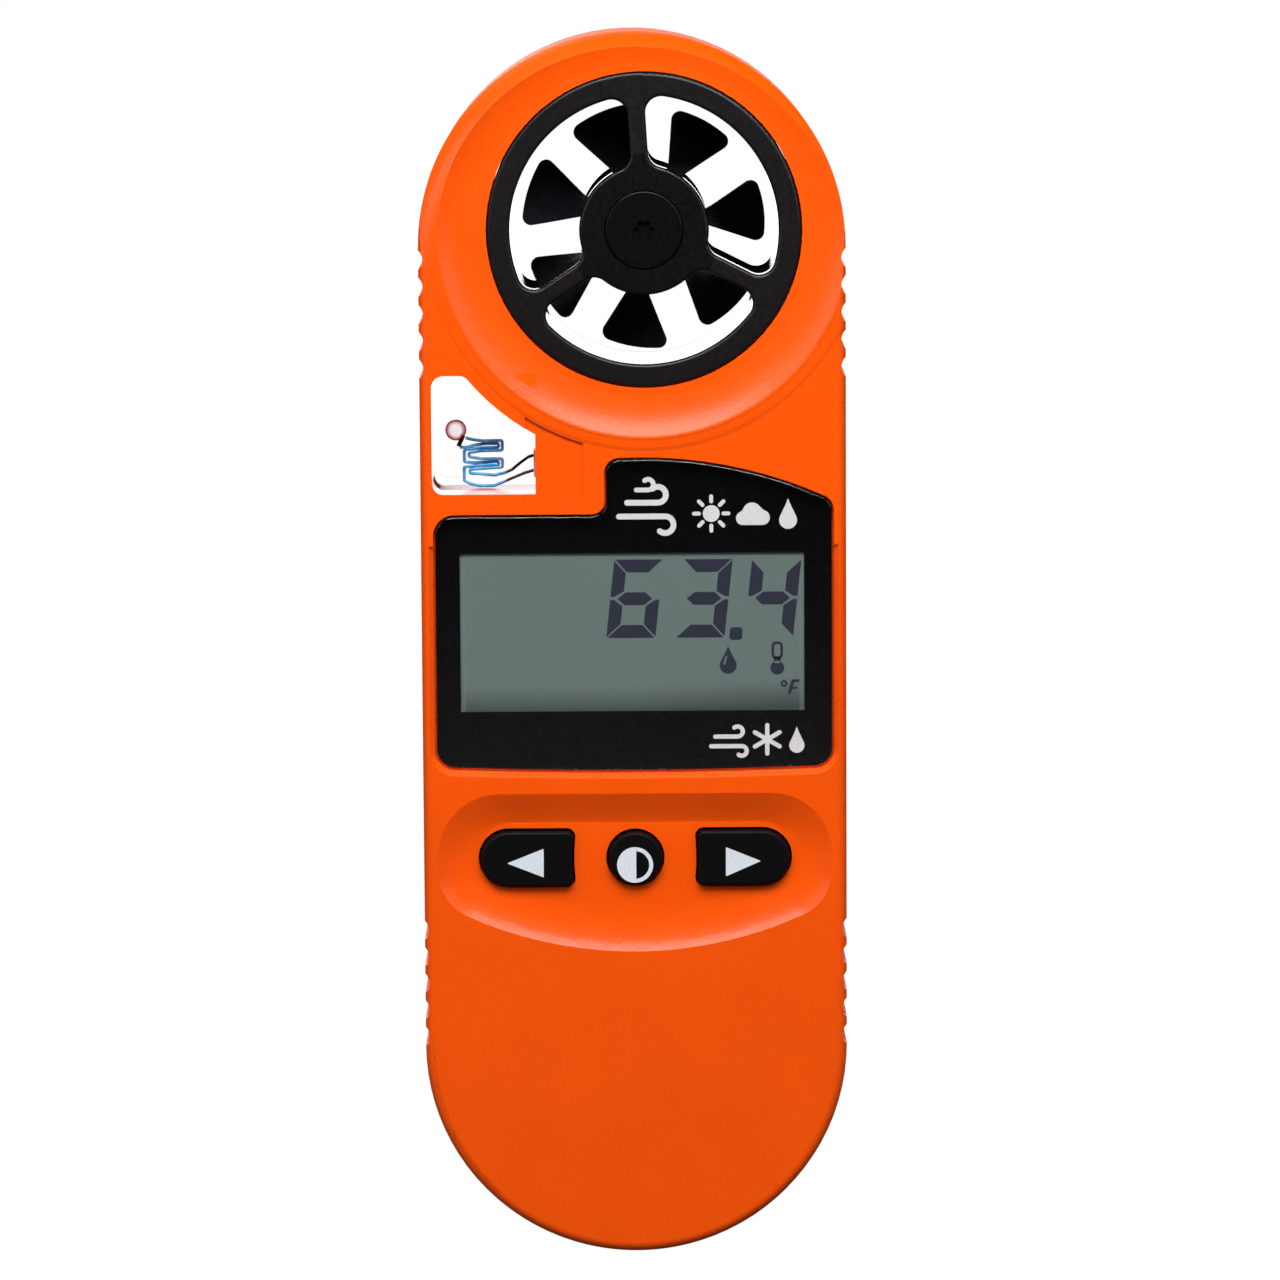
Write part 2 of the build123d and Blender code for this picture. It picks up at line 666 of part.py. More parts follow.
def lens_mask():
    """The black print behind the lens, with the viewing window left clear."""
    return slab(offset(lens_outline(), -0.1) - centred(VIEW_CENTRE, VIEW_SIZE), *MASK_Y)


def lens_adhesive():
    """The adhesive frame that holds the lens in its pocket."""
    opening = centred(DISPLAY_CENTRE, (GLASS_SIZE[0] + 0.6, GLASS_SIZE[1] + 0.6))
    return slab(offset(lens_outline(), -0.3) - opening, MASK_Y[1], POCKET_Y)


def display_layers():
    """The stack behind the lens, from the front polariser to the light guide."""
    width, height = GLASS_SIZE
    front, back = GLASS_Y
    middle = (front + back) / 2
    glass = centred(DISPLAY_CENTRE, GLASS_SIZE)
    return {
        "front_polariser": slab(centred(DISPLAY_CENTRE, (width - 0.8, height - 0.8)), -6.5, front - LAYER_GAP),
        "lcd_front_glass": slab(glass, front, middle - LAYER_GAP / 2),
        "lcd_rear_glass": slab(glass, middle + LAYER_GAP / 2, back),
        "rear_reflector": slab(centred(DISPLAY_CENTRE, (35.2, 14.2)), back + LAYER_GAP, -4.3),
        "light_guide": block((-17.6, 15.6), (-4.25, -2.75), (55.95, 70.15)),
        "lcd_holder": slab(
            centred(DISPLAY_CENTRE, (37.0, 21.4)) - centred(DISPLAY_CENTRE, (width + 0.2, height + 0.2)),
            INNER_Y,
            BOARD_Y[0],
        ),
        "upper_contact_strip": block((-17.5, 17.2), (GLASS_Y[1], BOARD_Y[0]), (70.5, 72.3)),
        "lower_contact_strip": block((-17.5, 17.2), (GLASS_Y[1], BOARD_Y[0]), (53.8, 55.6)),
    }


def backlight_leds():
    """Two side-firing lamps at the end of the light guide."""
    lamps = [block((15.8, 17.2), (-3.9, BOARD_Y[0]), (z - 1, z + 1)) for z in (59.5, 66.5)]
    return Compound(lamps)


# ---------------------------------------------------------------- keys
def key(outline, centre):
    """A rubber key: a proud head, a flange behind the casing and a post for its contact pill."""
    head = round_front(slab(outline, KEY_FRONT_Y, FLANGE_Y[0]), 0.3)
    flange = slab(offset(outline, FLANGE_MARGIN), *FLANGE_Y)
    return head + flange + rod(centre, 1.7, FLANGE_Y[1], PILL_Y[0])


def contact_pill(centre):
    """The carbon pill that closes a key's contact."""
    return rod(centre, 1.6, *PILL_Y)


def keypad_mat():
    """The rubber sheet that carries the keys and seals them to the casing."""
    sheet = Pos(0, KEY_Z) * RectangleRounded(36.4, 11.8, 2.0)
    for outline, _ in key_outlines().values():
        sheet -= offset(outline, FLANGE_MARGIN + 0.25)
    return slab(sheet, INNER_Y, FLANGE_Y[1])


def key_contacts():
    """The contact pads on the board, one under each key."""
    return Compound([rod(centre, 1.9, BOARD_Y[0] - 0.04, BOARD_Y[0]) for _, centre in key_outlines().values()])


# ---------------------------------------------------------------- electronics
KEEPER_X = 10.18
KEEPER_Z = (38.0, 42.0)
HUMIDITY_Y = (2.2, 5.8)
HUMIDITY_Z = (79.2, 82.8)
PICKUP_X = (1.6, 4.8)


def main_board():
    """The circuit board, clear of the window's wall and drilled for its four screws."""
    outline = centred((0, 47.5), (35.2, 63.0)) - centred((-17.2, 84.8), (20, 20))
    for centre in BOARD_SCREWS:
        outline -= disc(centre, BOARD_SHANK_R + 0.1)
    return slab(outline, *BOARD_Y)


def board_parts():
    """What stands on the back of the board."""
    top = BOARD_Y[1]
    chips = [
        block((x, x + 1.6), (top, top + 0.7), (z, z + 0.8))
        for x, z in ((-16.5, 60), (-16.5, 63), (-16.5, 66), (-6, 70), (-2, 70), (2, 70), (-14, 24), (12, 24))
    ]
    can = rod(VENT_CENTRE, 2.9, top, top + 1.2)
    return {
        "processor": block((-12.5, -3.5), (top, top + 1.6), (58, 67)),
        "timing_crystal": block((-1.5, 4.5), (top, top + 1.9), (64.5, 66.9)),
        "pressure_sensor": can + rod(VENT_CENTRE, 1.9, top + 1.2, top + 2.2),
        "chip_components": Compound(chips),
    }


def vent_membrane():
    """The breathable disc stuck over the vent holes from inside."""
    return rod(VENT_CENTRE, 2.7, REAR_INNER_Y - 0.25, REAR_INNER_Y)


def impeller_pickup():
    """The sensor under the bore that counts the magnet's turns."""
    top = AXIS[1] - BORE_R - WALL - 0.15
    return block(PICKUP_X, (-2.0, 0.8), (top - 1.4, top - 0.2))


def pickup_flex():
    """The flexible strip from the board up to the pickup."""
    top = AXIS[1] - BORE_R - WALL - 0.15
    return block((PICKUP_X[0] + 0.4, PICKUP_X[1] - 0.4), (-1.2, -1.0), (74.5, top - 1.45))


def coin_cell():
    """The 20 mm by 3.2 mm cell: a wide can and a smaller cap facing the board."""
    can = rod(CELL_CENTRE, CELL_R, CELL_Y[0] + 0.4, CELL_Y[1])
    can = round_back(can, 0.4)
    return can + rod(CELL_CENTRE, 8.7, CELL_Y[0], CELL_Y[0] + 0.4)


def negative_contact():
    """The leaf under the cell, with its pin to the board."""
    leaf = block((-4.5, 4.5), (WELL_FLOOR_Y[1], WELL_FLOOR_Y[1] + 0.2), (38.4, 41.6))
    dimple = rod(CELL_CENTRE, 1.0, WELL_FLOOR_Y[1] + 0.2, CELL_Y[0])
    return leaf + dimple + rod(CELL_CENTRE, 0.5, BOARD_Y[1], WELL_FLOOR_Y[1])


def positive_contact():
    """The strip against the cell's rim, with its pin to the board."""
    strip = block((KEEPER_X - 0.15, KEEPER_X + 0.15), (WELL_FLOOR_Y[1], 5.6), KEEPER_Z)
    return strip + rod((KEEPER_X, CELL_CENTRE[1]), 0.3, BOARD_Y[1], WELL_FLOOR_Y[1])


def battery_door():
    """The bayonet door: a disc with three lugs, a seal groove and a coin slot."""
    door = round_back(rod(CELL_CENTRE, DOOR_R, *DOOR_Y), 0.4)
    door += rod(CELL_CENTRE, 9.0, CELL_Y[1] + 0.3, DOOR_Y[0])
    for angle in LUG_ANGLES:
        lug = sector(CELL_CENTRE, LUG_R, angle - LUG_HALF_ANGLE, angle + LUG_HALF_ANGLE)
        door += slab(lug - disc(CELL_CENTRE, DOOR_R - 1), *LUG_Y)
    door -= tube(CELL_CENTRE, 11.8, 10.8, DOOR_Y[0] - 1, DOOR_Y[0] + 0.5)
    slot = Pos(*CELL_CENTRE) * SlotOverall(14.0, 2.2)
    return door - slab(slot, DOOR_Y[1] - 1.1, DOOR_Y[1] + 1)


def door_seal():
    """The O-ring under the door."""
    ring = Torus(11.3, 0.4)
    return Pos(CELL_CENTRE[0], SHELF_Y + 0.42, CELL_CENTRE[1]) * Rot(90, 0, 0) * ring


# ---------------------------------------------------------------- fasteners
def cross_recess(centre, y_front, y_back, length):
    """A cross-shaped driver recess."""
    cross = centred(centre, (length, 0.5)) + centred(centre, (0.5, length))
    return slab(cross, y_front, y_back)


def case_screw(centre):
    """A self-tapping screw from the back, through the rear casing into a front post."""
    head = round_back(rod(centre, CASE_HEAD_R, *CASE_HEAD_Y), 0.4)
    head -= cross_recess(centre, CASE_HEAD_Y[1] - 0.8, CASE_HEAD_Y[1] + 1, 2.2)
    return head + rod(centre, CASE_SHANK_R, -3.2, CASE_HEAD_Y[0])


def board_screw(centre):
    """A small screw that holds the board to a boss."""
    head = rod(centre, 1.8, BOARD_Y[1], BOARD_Y[1] + 1.1)
    head -= cross_recess(centre, BOARD_Y[1] + 0.5, BOARD_Y[1] + 2, 1.8)
    return head + rod(centre, BOARD_SHANK_R, -4.3, BOARD_Y[1])


def lanyard_pin():
    """The steel pin across the lanyard pocket."""
    place = Pos(LANYARD[0], LANYARD_PIN_Y, LANYARD[1]) * Rot(0, 90, 0)
    return place * Cylinder(LANYARD_PIN_R, LANYARD_POCKET[0] + 2)


# ---------------------------------------------------------------- air temperature and humidity
def collar_along(radius):
    """A round sleeve of the given radius on the collar's line."""
    start, end = Vector(*COLLAR_ENDS[0]), Vector(*COLLAR_ENDS[1])
    return extrude(Plane(origin=start, z_dir=end - start) * Circle(radius), amount=(end - start).length)


def thermistor_bead():
    """The glass bead, with a groove where the collar lies against it."""
    return Pos(*BEAD) * Sphere(BEAD_R) - collar_along(COLLAR_R + 0.01)


def bead_collar():
    """The dark sleeve beside the bead, where its leads come out."""
    return collar_along(COLLAR_R)


def lead_gland():
    """The block that seals the leads where they enter the casing."""
    return block(GLAND_X, GLAND_Y, GLAND_Z)


def swept_lead(route, depth):
    """A round lead along straight runs joined by arcs, all at one depth."""
    path = FilletPolyline(*[(x, depth, z) for x, z in route], radius=LEAD_BEND)
    return sweep(Plane(origin=path @ 0, z_dir=path % 0) * Circle(LEAD_R), path=path)


def upper_lead():
    """The lead that leaves the collar's upper end and turns on the outside of each right-hand fold."""
    return swept_lead(UPPER_LEAD, UPPER_LEAD_Y)


def lower_lead():
    """The lead that leaves the collar's lower end and turns on the inside of each right-hand fold."""
    return swept_lead(LOWER_LEAD, LOWER_LEAD_Y)


def humidity_parts():
    """The humidity chip in the window's wall and the porous cap over it."""
    (y0, y1), (z0, z1) = HUMIDITY_Y, HUMIDITY_Z
    inset = 0.05
    cap = block((WINDOW_RIGHT + 0.05, -8.6), (y0 + inset, y1 - inset), (z0 + inset, z1 - inset))
    chip = block((-8.55, -7.6), (y0 + 0.3, y1 - 0.3), (z0 + 0.3, z1 - 0.3))
    return {"humidity_filter_cap": cap, "humidity_sensor": chip}


# ---------------------------------------------------------------- the whole meter
def nodes():
    """Every sub-part by its node name."""
    made = {
        "front_casing": front_casing(),
        "rear_casing": rear_casing(),
        "casing_seal": casing_seal(),
        "display_lens": display_lens(),
        "lens_mask": lens_mask(),
        "lens_adhesive": lens_adhesive(),
        "backlight_leds": backlight_leds(),
        "keypad_mat": keypad_mat(),
        "key_contacts": key_contacts(),
        "main_board": main_board(),
        "vent_membrane": vent_membrane(),
        "impeller_pickup": impeller_pickup(),
        "pickup_flex": pickup_flex(),
        "coin_cell": coin_cell(),
        "negative_contact": negative_contact(),
        "positive_contact": positive_contact(),
        "battery_door": battery_door(),
        "door_seal": door_seal(),
        "case_screws": Compound([case_screw(c) for c in CASE_SCREWS]),
        "board_screws": Compound([board_screw(c) for c in BOARD_SCREWS]),
        "lanyard_pin": lanyard_pin(),
        "thermistor_bead": thermistor_bead(),
        "bead_collar": bead_collar(),
        "lead_gland": lead_gland(),
        "upper_thermistor_lead": upper_lead(),
        "lower_thermistor_lead": lower_lead(),
        "cartridge_front": cartridge_front(),
        "cartridge_rear": cartridge_rear(),
        "front_bearing_plug": bearing_plug(CARTRIDGE_Y[0] + 0.1, CARTRIDGE_Y[0] + 0.95),
        "rear_bearing_plug": bearing_plug(CARTRIDGE_Y[1] - 0.1, CARTRIDGE_Y[1] - 0.95),
        "front_jewel": jewel(CARTRIDGE_Y[0] + SPOKE_DEPTH, CARTRIDGE_Y[0] + 0.95),
        "rear_jewel": jewel(CARTRIDGE_Y[1] - SPOKE_DEPTH, CARTRIDGE_Y[1] - 0.95),
        "impeller": impeller(),
        "impeller_axle": impeller_axle(),
        "impeller_magnet": impeller_magnet(),
    }
    made.update(display_layers())
    made.update(board_parts())
    made.update(humidity_parts())
    for name, (outline, centre) in key_outlines().items():
        made[name] = key(outline, centre)
        made[name.replace("_key", "_contact_pill")] = contact_pill(centre)
    return made


def main():
    """Writes one STEP file for each node, lowered so that the casing's lower end is at height 0."""
    os.makedirs("parts", exist_ok=True)
    for name, shape in nodes().items():
        export_step(Pos(0, 0, -LOWER_END) * shape, f"parts/{name}.step")


main()
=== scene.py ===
import json
import math

import bmesh
import bpy
from mathutils import Matrix, Vector


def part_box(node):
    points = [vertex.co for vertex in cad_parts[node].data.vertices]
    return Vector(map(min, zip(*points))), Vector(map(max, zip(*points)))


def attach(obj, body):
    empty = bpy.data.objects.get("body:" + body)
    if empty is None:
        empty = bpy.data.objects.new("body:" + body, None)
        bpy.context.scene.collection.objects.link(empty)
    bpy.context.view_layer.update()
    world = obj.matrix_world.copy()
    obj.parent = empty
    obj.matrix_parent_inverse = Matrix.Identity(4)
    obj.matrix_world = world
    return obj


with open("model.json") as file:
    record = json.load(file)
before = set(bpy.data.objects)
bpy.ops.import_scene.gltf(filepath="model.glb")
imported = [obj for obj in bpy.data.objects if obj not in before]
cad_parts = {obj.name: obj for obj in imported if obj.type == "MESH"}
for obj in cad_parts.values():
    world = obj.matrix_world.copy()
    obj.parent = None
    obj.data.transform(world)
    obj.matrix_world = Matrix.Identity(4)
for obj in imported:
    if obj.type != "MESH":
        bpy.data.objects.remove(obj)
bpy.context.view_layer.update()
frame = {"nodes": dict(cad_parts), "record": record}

MM = 0.001
DATUM = 1.7  # heights in this file are in millimetres above a datum this far below the casing's lower end
NODES = frame["nodes"]
SLOT_OF = {s["node"]: s["material_slot"] for s in frame["record"]["subparts"]}


# ---------------------------------------------------------------- material building
def srgb(r, g, b):
    """A colour given in the usual 0 to 255 values, as linear light."""
    def linear(v):
        v /= 255
        return v / 12.92 if v <= 0.04045 else ((v + 0.055) / 1.055) ** 2.4
    return (linear(r), linear(g), linear(b), 1.0)


class Shader:
    """A node tree with one Principled shader and short calls for what feeds it."""

    def __init__(self, name):
        self.material = bpy.data.materials.new(name)
        self.material.use_nodes = True
        self.tree = self.material.node_tree
        self.tree.nodes.clear()
        self.output = self.add("ShaderNodeOutputMaterial")
        self.surface = self.add("ShaderNodeBsdfPrincipled")
        self.link(self.surface.outputs[0], self.output.inputs["Surface"])
        self.place = self.add("ShaderNodeTexCoord").outputs["Object"]

    def add(self, kind, **values):
        node = self.tree.nodes.new(kind)
        for name, value in values.items():
            if hasattr(node, name):
                setattr(node, name, value)
            else:
                node.inputs[name.replace("_", " ")].default_value = value
        return node

    def link(self, source, target):
        self.tree.links.new(source, target)

    def set(self, **values):
        for name, value in values.items():
            self.surface.inputs[name.replace("_", " ")].default_value = value
        return self

    def noise(self, size_mm, detail=3.0, roughness=0.55, stretch=(1, 1, 1)):
        """Noise whose features are about size_mm across."""
        mapping = self.add("ShaderNodeMapping")
        mapping.inputs["Scale"].default_value = stretch
        self.link(self.place, mapping.inputs["Vector"])
        node = self.add("ShaderNodeTexNoise", Scale=1.0 / (size_mm * MM), Detail=detail, Roughness=roughness)
        self.link(mapping.outputs[0], node.inputs["Vector"])
        return node.outputs["Fac"]

    def cells(self, size_mm, smooth=False):
        """The distance to the nearest of many points about size_mm apart."""
        node = self.add("ShaderNodeTexVoronoi", Scale=1.0 / (size_mm * MM))
        if smooth:
            node.feature = "SMOOTH_F1"
        self.link(self.place, node.inputs["Vector"])
        return node.outputs["Distance"]

    def scale_to(self, value, low, high, from_low=0.0, from_high=1.0):
        node = self.add("ShaderNodeMapRange")
        node.inputs["From Min"].default_value = from_low
        node.inputs["From Max"].default_value = from_high
        node.inputs["To Min"].default_value = low
        node.inputs["To Max"].default_value = high
        self.link(value, node.inputs["Value"])
        return node.outputs["Result"]

    def maths(self, operation, a, b=None, c=None):
        node = self.add("ShaderNodeMath", operation=operation)
        for i, v in enumerate((a, b, c)):
            if v is None:
                continue
            if isinstance(v, (int, float)):
                node.inputs[i].default_value = v
            else:
                self.link(v, node.inputs[i])
        return node.outputs[0]

    def mix(self, fac, a, b):
        """Colour a where fac is 0 and b where it is 1."""
        node = self.add("ShaderNodeMix", data_type="RGBA")
        for socket, v in ((node.inputs["Factor"], fac), (node.inputs["A"], a), (node.inputs["B"], b)):
            sockets = [s for s in node.inputs if s.name == socket.name and s.enabled]
            target = sockets[0] if sockets else socket
            if isinstance(v, (tuple, float, int)):
                target.default_value = v
            else:
                self.link(v, target)
        return [o for o in node.outputs if o.enabled][0]

    def along(self, axis):
        """The position along one axis, in millimetres."""
        node = self.add("ShaderNodeSeparateXYZ")
        self.link(self.place, node.inputs[0])
        return self.maths("MULTIPLY_ADD", node.outputs[axis], 1000.0, DATUM if axis == 2 else 0.0)

    def colour(self, value):
        self.link(value, self.surface.inputs["Base Color"])
        return self

    def rough(self, value):
        self.link(value, self.surface.inputs["Roughness"])
        return self

    def source_of(self, name):
        """What feeds one of the surface's inputs now."""
        return self.surface.inputs[name].links[0].from_socket

    def bump(self, height, depth_mm):
        """Bump from a 0 to 1 height; calls made one after another add up."""
        node = self.add("ShaderNodeBump", Strength=1.0, Distance=depth_mm * MM)
        self.link(height, node.inputs["Height"])
        normal = self.surface.inputs["Normal"]
        if normal.links:
            self.link(normal.links[0].from_socket, node.inputs["Normal"])
        self.link(node.outputs[0], normal)
        return self


def darker(colour, share):
    """The colour times a share, still opaque."""
    return tuple(c * share for c in colour[:3]) + (1.0,)


def moulded(name, colour, rough, grain_mm, grain_depth_mm, mottle=0.05, scuff=0.08, **extra):
    """Moulded plastic or rubber: fine grain, faint flow mottling and light handling scuffs."""
    s = Shader(name)
    flow = s.noise(9.0, detail=2.0)
    blotch = s.scale_to(flow, 0.0, 1.0, 0.35, 0.65)
    s.colour(s.mix(blotch, darker(colour, 1.0 - mottle), darker(colour, 1.0 + mottle * 0.4)))
    scratches = s.noise(0.9, detail=5.0, roughness=0.7, stretch=(1.0, 1.0, 0.16))
    wear = s.scale_to(scratches, 0.0, scuff, 0.56, 0.74)
    base = s.scale_to(s.noise(grain_mm * 2.2, detail=2.0), rough - 0.03, rough + 0.05, 0.3, 0.7)
    s.rough(s.maths("SUBTRACT", base, wear))
    s.bump(s.noise(grain_mm, detail=2.5, roughness=0.6), grain_depth_mm)
    s.bump(s.cells(grain_mm * 1.7, smooth=True), grain_depth_mm * 0.8)
    s.bump(s.noise(14.0, detail=1.0), 0.012)
    return s.set(**extra)


def metal(name, colour, rough, brush=(1, 1, 14), grain_mm=0.5):
    """Metal with fine drawing lines and faint tarnish."""
    s = Shader(name)
    lines = s.noise(grain_mm, detail=4.0, roughness=0.65, stretch=brush)
    stain = s.noise(3.0, detail=3.0)
    s.colour(s.mix(s.scale_to(stain, 0.0, 1.0, 0.35, 0.7), colour, darker(colour, 0.8)))
    s.rough(s.scale_to(lines, rough * 0.75, rough * 1.35, 0.3, 0.7))
    s.bump(lines, 0.004)
    return s.set(Metallic=1.0)


def see_through(name, tint, gloss, rough):
    """A clear sheet that lets light straight through and reflects by its angle."""
    s = Shader(name)
    clear = s.add("ShaderNodeBsdfTransparent", Color=tint)
    shine = s.add("ShaderNodeBsdfGlossy")
    smear = s.noise(6.0, detail=4.0, roughness=0.6)
    s.link(s.scale_to(smear, rough, rough * 2.2, 0.45, 0.75), shine.inputs["Roughness"])
    tilt = s.add("ShaderNodeLayerWeight", Blend=0.5).outputs["Facing"]
    share = s.scale_to(s.maths("POWER", tilt, 5.0), 0.035 * gloss, gloss)
    both = s.add("ShaderNodeMixShader")
    s.link(share, both.inputs[0])
    s.link(clear.outputs[0], both.inputs[1])
    s.link(shine.outputs[0], both.inputs[2])
    s.link(both.outputs[0], s.output.inputs["Surface"])
    return s


# ---------------------------------------------------------------- materials that change over a part
ORANGE = (0.93, 0.09, 0.001, 1.0)
SEAM_SHADE = srgb(66, 46, 42)

# The sensor window's walls, in millimetres, and the height below which a wall is the window's sill.
WINDOW_X = (-19.7, -9.3)
WINDOW_Y = (-7.7, 8.6)
WINDOW_Z = (77.0, 88.8)
SILL_TOP = 78.3
POLISH = 0.19

# The depths over which the casing's face and its back turn into the matt outline wall.
FRONT_TURN = (-7.6, -6.4)
BACK_TURN = (7.2, 8.2)
MATT_GAIN = 0.2

# Radii round the impeller's axis. The throat starts a little behind the cartridge's front face and ends
# at a depth in the casing.
THROAT_R = 13.11
THROAT_LEDGE = 0.37
THROAT_END_Y = 7.3
HUB_R = 7.4

# Where the leads change from blue enamel to black sleeving, along x.
SLEEVE_X = (-12.7, -12.3)

# The display's middle, half width, the heights of the painted shade at its foot, and the height above which
# its top is lighter, partly as painted light, in millimetres.
DISPLAY_X = -0.17
DISPLAY_HALF = 16.35
DISPLAY_SHADE_Z = (55.3, 58.0)
DISPLAY_TOP_Z = 70.7


def between(shader, value, low, high):
    """1 where the value lies between low and high, else 0."""
    above = shader.maths("GREATER_THAN", value, low)
    return shader.maths("MULTIPLY", above, shader.maths("LESS_THAN", value, high))


def orange_plastic(name):
    """The casing: grained on its face and back, matt round its outline, polished in the sensor window.

    A dark line lies on the window's walls at the seam of the two casing halves, and a dark band, lighter
    towards the right, lies on the window's sill just in front of it.
    """
    s = moulded(name, ORANGE, 0.28, 0.16, 0.012, mottle=0.03, scuff=0.04)
    x, y, z = s.along(0), s.along(1), s.along(2)
    window = s.maths("MULTIPLY", between(s, x, *WINDOW_X), between(s, z, *WINDOW_Z))
    window = s.maths("MULTIPLY", window, between(s, y, *WINDOW_Y))
    outer = s.maths("MULTIPLY", s.scale_to(y, 0.0, 1.0, *FRONT_TURN), s.maths("SUBTRACT", 1.0, window))
    outer = s.maths("MULTIPLY", outer, s.scale_to(y, 1.0, 0.0, *BACK_TURN))
    s.rough(s.maths("SUBTRACT", s.source_of("Roughness"), s.maths("MULTIPLY", window, POLISH)))
    s.rough(s.maths("MULTIPLY_ADD", outer, MATT_GAIN, s.source_of("Roughness")))
    sill = s.maths("MULTIPLY", window, s.maths("LESS_THAN", z, SILL_TOP))
    band = s.maths("MULTIPLY", sill, between(s, y, SEAM_Y - 4.6, SEAM_Y - 0.7))
    seam = s.maths("MULTIPLY", window, between(s, y, SEAM_Y - 0.3, SEAM_Y + 0.1))
    seam = s.maths("MAXIMUM", seam, s.maths("MULTIPLY", band, s.scale_to(x, 1.0, 0.78, -19.0, -11.0)))
    s.colour(s.mix(s.maths("MULTIPLY", seam, 0.9), s.source_of("Base Color"), SEAM_SHADE))
    matt = s.maths("MAXIMUM", seam, s.maths("MULTIPLY", outer, 0.85))
    s.link(s.scale_to(matt, 0.27, 0.0), s.surface.inputs["Specular IOR Level"])
    return s


def black_plastic(name):
    """The cartridge: black, grained on its ring, finer on its hub, and smooth inside its throat."""
    s = moulded(name, srgb(17, 14, 16), 0.36, 0.2, 0.012, mottle=0.12, scuff=0.08, Specular_IOR_Level=0.33)
    x = s.maths("SUBTRACT", s.along(0), AXIS_X)
    z = s.maths("SUBTRACT", s.along(2), AXIS_Z)
    y = s.along(1)
    radius = s.maths("SQRT", s.maths("ADD", s.maths("POWER", x, 2.0), s.maths("POWER", z, 2.0)))
    inner = s.maths("LESS_THAN", radius, THROAT_R)
    throat = s.maths("MULTIPLY", inner, between(s, y, CARTRIDGE_FRONT + THROAT_LEDGE, THROAT_END_Y))
    hub = s.maths("LESS_THAN", radius, HUB_R)
    smoother = s.maths("ADD", s.maths("MULTIPLY", throat, 0.3), s.maths("MULTIPLY", hub, 0.06))
    s.rough(s.maths("SUBTRACT", s.source_of("Roughness"), smoother))
    s.colour(s.mix(hub, s.source_of("Base Color"), srgb(9, 8, 9)))
    return s


def circuit_board():
    """Green lacquer over faint copper tracks."""
    s = Shader("board")
    green, track = srgb(12, 92, 46), srgb(40, 128, 62)
    grid = s.add("ShaderNodeTexBrick", Scale=1.0, Mortar_Size=0.06)
    grid.inputs["Brick Width"].default_value = 2.6
    grid.inputs["Row Height"].default_value = 0.9
    mapping = s.add("ShaderNodeMapping")
    mapping.inputs["Scale"].default_value = (1000, 1000, 1000)
    mapping.inputs["Rotation"].default_value = (math.pi / 2, 0, 0)
    s.link(s.place, mapping.inputs["Vector"])
    s.link(mapping.outputs[0], grid.inputs["Vector"])
    s.colour(s.mix(grid.outputs["Fac"], green, track))
    s.bump(grid.outputs["Fac"], 0.02)
    s.rough(s.scale_to(s.noise(2.0), 0.22, 0.36))
    return s.set(Coat_Weight=0.3, Coat_Roughness=0.12)


def blue_leads():
    """Blue enamel on the wound part of the leads and black sleeving where they run to the gland."""
    s = Shader("blue_enamel")
    x = s.along(0)
    black_part = s.scale_to(x, 0.0, 1.0, *SLEEVE_X)
    shade = s.noise(0.8, detail=3.0)
    blue = s.mix(s.scale_to(shade, 0.0, 1.0, 0.35, 0.65), srgb(10, 158, 240), srgb(96, 205, 255))
    s.colour(s.mix(black_part, blue, srgb(14, 14, 18)))
    s.rough(s.scale_to(shade, 0.12, 0.24))
    s.bump(s.noise(0.25), 0.006)
    return s.set(Coat_Weight=0.2, Coat_Roughness=0.08)


def porous(name, colour):
    """A white porous membrane, with painted shade in its pores."""
    s = Shader(name)
    pores = s.cells(0.12)
    # Painted shade: each pore is darker at its middle, where the bump sinks it.
    s.colour(s.mix(pores, darker(colour, 0.8), colour))
    s.rough(s.scale_to(pores, 0.75, 0.95))
    s.bump(pores, 0.03)
    return s


def bead_glass():
    """The thermistor's bead: clear and faintly pink, with a denser rosy rim."""
    s = Shader("bead_glass")
    swirl = s.noise(0.7, detail=3.0)
    tint = s.mix(s.scale_to(swirl, 0.0, 1.0, 0.3, 0.7), srgb(246, 236, 236), srgb(255, 250, 250))
    clear = s.add("ShaderNodeBsdfTransparent")
    s.link(tint, clear.inputs["Color"])
    s.colour(s.mix(s.scale_to(swirl, 0.0, 1.0, 0.3, 0.7), srgb(188, 112, 104), srgb(206, 140, 130)))
    s.rough(s.scale_to(swirl, 0.05, 0.16))
    s.bump(swirl, 0.01)
    rim = s.add("ShaderNodeLayerWeight", Blend=0.5)
    share = s.scale_to(rim.outputs["Facing"], 0.02, 0.9, 0.14, 0.6)
    both = s.add("ShaderNodeMixShader")
    s.link(share, both.inputs[0])
    s.link(clear.outputs[0], both.inputs[1])
    s.link(s.surface.outputs[0], both.inputs[2])
    s.link(both.outputs[0], s.output.inputs["Surface"])
    return s


